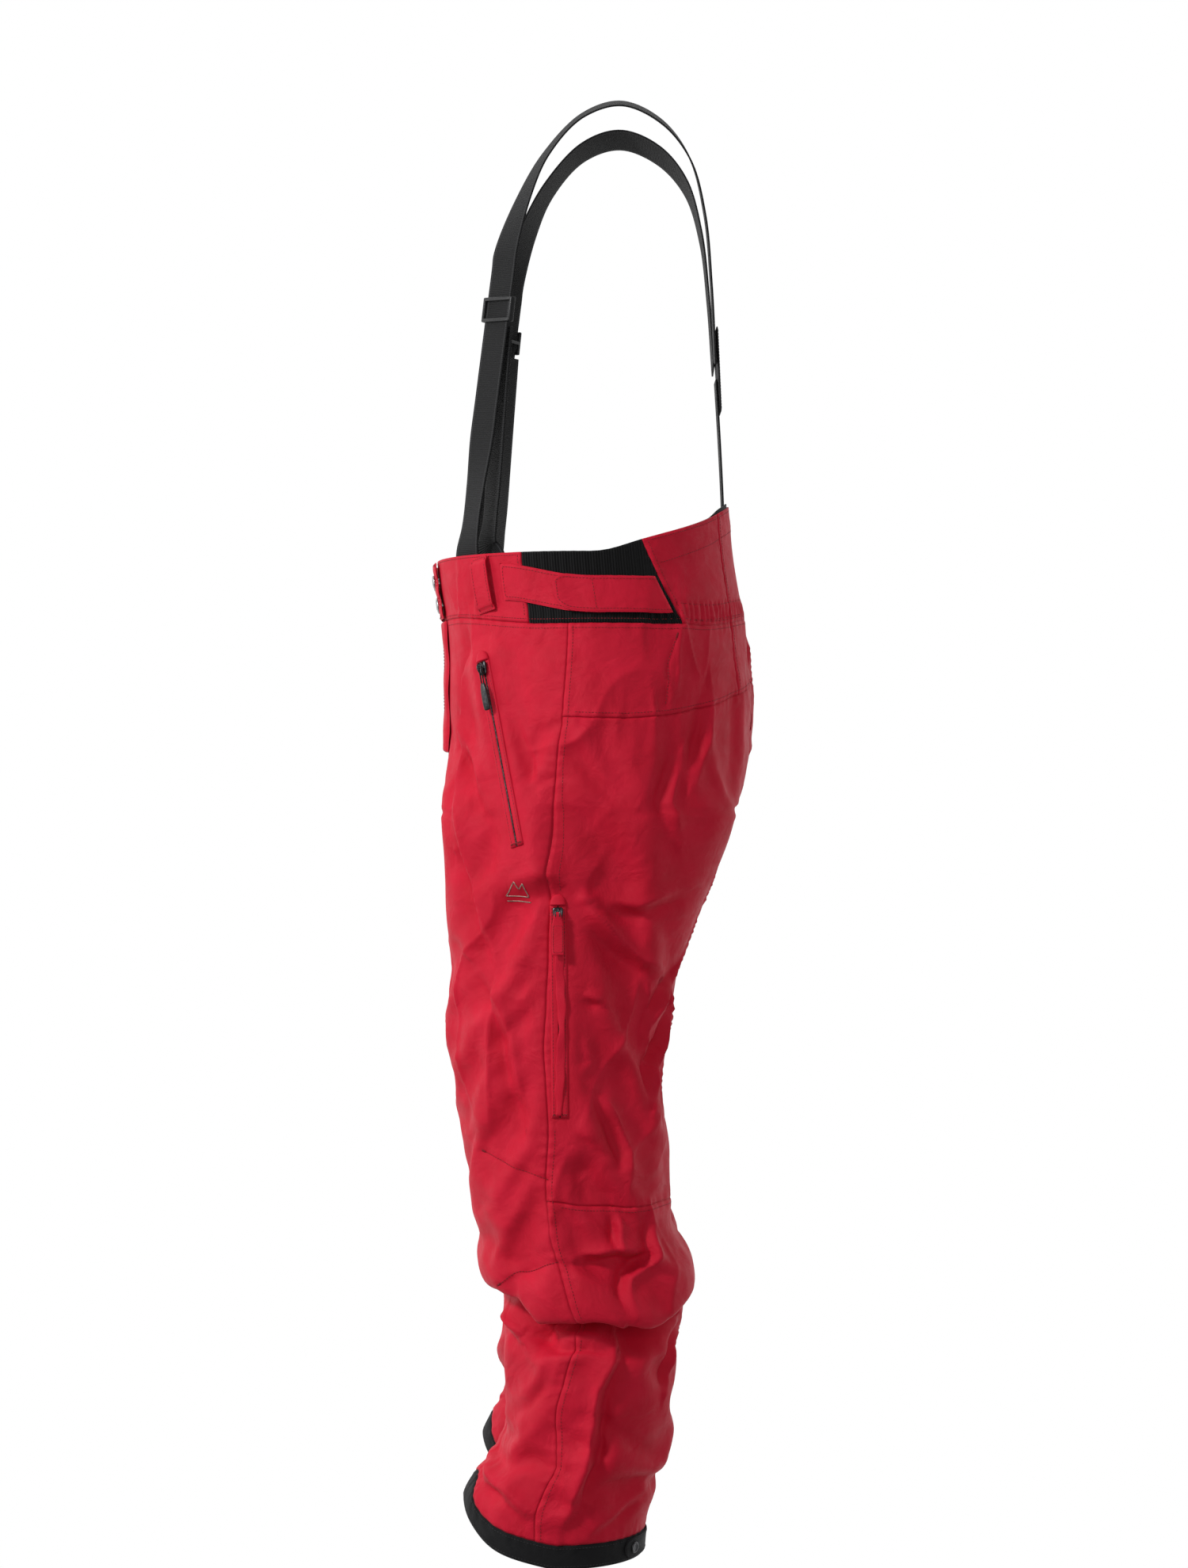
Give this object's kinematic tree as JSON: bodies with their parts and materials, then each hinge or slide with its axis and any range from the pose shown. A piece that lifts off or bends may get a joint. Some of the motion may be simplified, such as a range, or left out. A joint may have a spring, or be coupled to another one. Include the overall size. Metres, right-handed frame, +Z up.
{
  "type": "ski pants",
  "caption": "Insulated ski pants with a high back, stretch side waist panels, adjustable webbing suspenders, zipped pockets and thigh vents.",
  "frame": {"origin": "centre of the waist, level with the top edge of the front waistband", "axes": "+Z up the body; the wearer faces -Y and the wearer's left is +X"},
  "size_m": [0.4124, 0.3421, 1.5134],
  "materials": {
    "shell": "matt woven nylon, water-repellent",
    "stretch": "ribbed elastic knit",
    "binding": "woven nylon binding",
    "webbing": "ribbed elastic webbing",
    "lining": "smooth taffeta lining",
    "zip_tape": "woven tape with a moulded coil",
    "black_plastic": "moulded acetal",
    "pull_grip": "moulded grip with a grey insert",
    "snap_metal": "gunmetal press snap"
  },
  "bodies": {
    "garment": {"front_panel_l": "shell", "back_thigh_l": "shell", "back_shin_l": "shell", "hem_band_l": "binding", "gaiter_l": "lining", "yoke_l": "shell", "waistband_front_l": "shell", "waist_stretch_l": "stretch", "back_waist_l": "shell", "pocket_bag_l": "lining", "front_panel_r": "shell", "back_thigh_r": "shell", "back_shin_r": "shell", "hem_band_r": "binding", "gaiter_r": "lining", "yoke_r": "shell", "waistband_front_r": "shell", "waist_stretch_r": "stretch", "back_waist_r": "shell", "pocket_bag_r": "lining", "back_waist_center": "shell", "yoke_center": "shell", "pocket_zip_l": "zip_tape", "vent_zip_l": "zip_tape", "pocket_zip_r": "zip_tape", "vent_zip_r": "zip_tape", "fly_zip": "zip_tape", "fly_flap": "shell", "snap_stud_upper": "snap_metal", "snap_stud_lower": "snap_metal", "belt_loop_l": "shell", "waist_strap_l": "shell", "gaiter_hook_l": "snap_metal", "belt_loop_r": "shell", "waist_strap_r": "shell", "gaiter_hook_r": "snap_metal", "strap_l": "webbing", "strap_return_l": "webbing", "strap_r": "webbing", "strap_return_r": "webbing", "back_patch": "webbing", "back_strap": "webbing"},
    "pocket_slider_l": {"pocket_slider_l": "black_plastic"},
    "pocket_pull_l": {"pocket_pull_l": "pull_grip"},
    "vent_slider_l": {"vent_slider_l": "black_plastic"},
    "vent_pull_l": {"vent_pull_l": "pull_grip"},
    "pocket_slider_r": {"pocket_slider_r": "black_plastic"},
    "pocket_pull_r": {"pocket_pull_r": "pull_grip"},
    "vent_slider_r": {"vent_slider_r": "black_plastic"},
    "vent_pull_r": {"vent_pull_r": "pull_grip"},
    "fly_slider": {"fly_slider": "snap_metal"},
    "waist_flap": {"waist_flap": "shell", "snap_cap_upper": "snap_metal", "snap_cap_lower": "snap_metal"},
    "waist_tab_l": {"waist_tab_l": "shell"},
    "waist_tab_r": {"waist_tab_r": "shell"},
    "hem_tab_l": {"hem_tab_l": "binding"},
    "hem_tab_r": {"hem_tab_r": "binding"},
    "strap_slider_l": {"strap_slider_l": "black_plastic"},
    "strap_slider_r": {"strap_slider_r": "black_plastic"}
  },
  "joints": [
    {"name": "pocket_zip_run_l", "type": "slide", "parent": "garment", "child": "pocket_slider_l", "axis": [0.2551, 0.1836, -0.9493], "range_m": [0, 0.165]},
    {"name": "pocket_pull_swing_l", "type": "hinge", "parent": "pocket_slider_l", "child": "pocket_pull_l", "pos_m": [0.14563, -0.11044, -0.11859], "axis": [-0.4937, -0.8195, -0.2911], "range_deg": [0, 150]},
    {"name": "vent_zip_run_l", "type": "slide", "parent": "garment", "child": "vent_slider_l", "axis": [0.0568, 0.0104, -0.9983], "range_m": [0, 0.19]},
    {"name": "vent_pull_swing_l", "type": "hinge", "parent": "vent_slider_l", "child": "vent_pull_l", "pos_m": [0.19967, -0.02984, -0.36912], "axis": [-0.0504, -0.9986, -0.0132], "range_deg": [0, 150]},
    {"name": "pocket_zip_run_r", "type": "slide", "parent": "garment", "child": "pocket_slider_r", "axis": [-0.2551, 0.1836, -0.9493], "range_m": [0, 0.165]},
    {"name": "pocket_pull_swing_r", "type": "hinge", "parent": "pocket_slider_r", "child": "pocket_pull_r", "pos_m": [-0.14563, -0.11044, -0.11859], "axis": [-0.4937, 0.8195, 0.2911], "range_deg": [0, 150]},
    {"name": "vent_zip_run_r", "type": "slide", "parent": "garment", "child": "vent_slider_r", "axis": [-0.0568, 0.0104, -0.9983], "range_m": [0, 0.19]},
    {"name": "vent_pull_swing_r", "type": "hinge", "parent": "vent_slider_r", "child": "vent_pull_r", "pos_m": [-0.19967, -0.02984, -0.36912], "axis": [-0.0504, 0.9986, 0.0132], "range_deg": [0, 150]},
    {"name": "fly_zip_run", "type": "slide", "parent": "garment", "child": "fly_slider", "axis": [0.0031, 0.0309, -0.9995], "range_m": [0, 0.095]},
    {"name": "waist_flap_open", "type": "hinge", "parent": "garment", "child": "waist_flap", "pos_m": [-0.03867, -0.15748, -0.03186], "axis": [-0.034, 0.144, -0.989], "range_deg": [0, 60]},
    {"name": "waist_tab_peel_l", "type": "hinge", "parent": "garment", "child": "waist_tab_l", "pos_m": [0.1589, 0.07651, -0.04424], "axis": [-0.1419, -0.1652, 0.976], "range_deg": [0, 50]},
    {"name": "waist_tab_peel_r", "type": "hinge", "parent": "garment", "child": "waist_tab_r", "pos_m": [-0.1589, 0.07651, -0.04424], "axis": [-0.1419, 0.1652, -0.976], "range_deg": [0, 50]},
    {"name": "hem_tab_peel_l", "type": "hinge", "parent": "garment", "child": "hem_tab_l", "pos_m": [0.10593, 0.06135, -1.0172], "axis": [-0.0139, 0.1324, 0.9911], "range_deg": [0, 60]},
    {"name": "hem_tab_peel_r", "type": "hinge", "parent": "garment", "child": "hem_tab_r", "pos_m": [-0.10593, 0.06135, -1.0172], "axis": [-0.0139, -0.1324, -0.9911], "range_deg": [0, 60]},
    {"name": "strap_adjust_l", "type": "slide", "parent": "garment", "child": "strap_slider_l", "axis": [0, 0.1275, 0.9918], "range_m": [-0.12, 0.03], "deforming": ["strap_return_l"]},
    {"name": "strap_adjust_r", "type": "slide", "parent": "garment", "child": "strap_slider_r", "axis": [0, 0.1275, 0.9918], "range_m": [-0.12, 0.03], "deforming": ["strap_return_r"]}
  ]
}
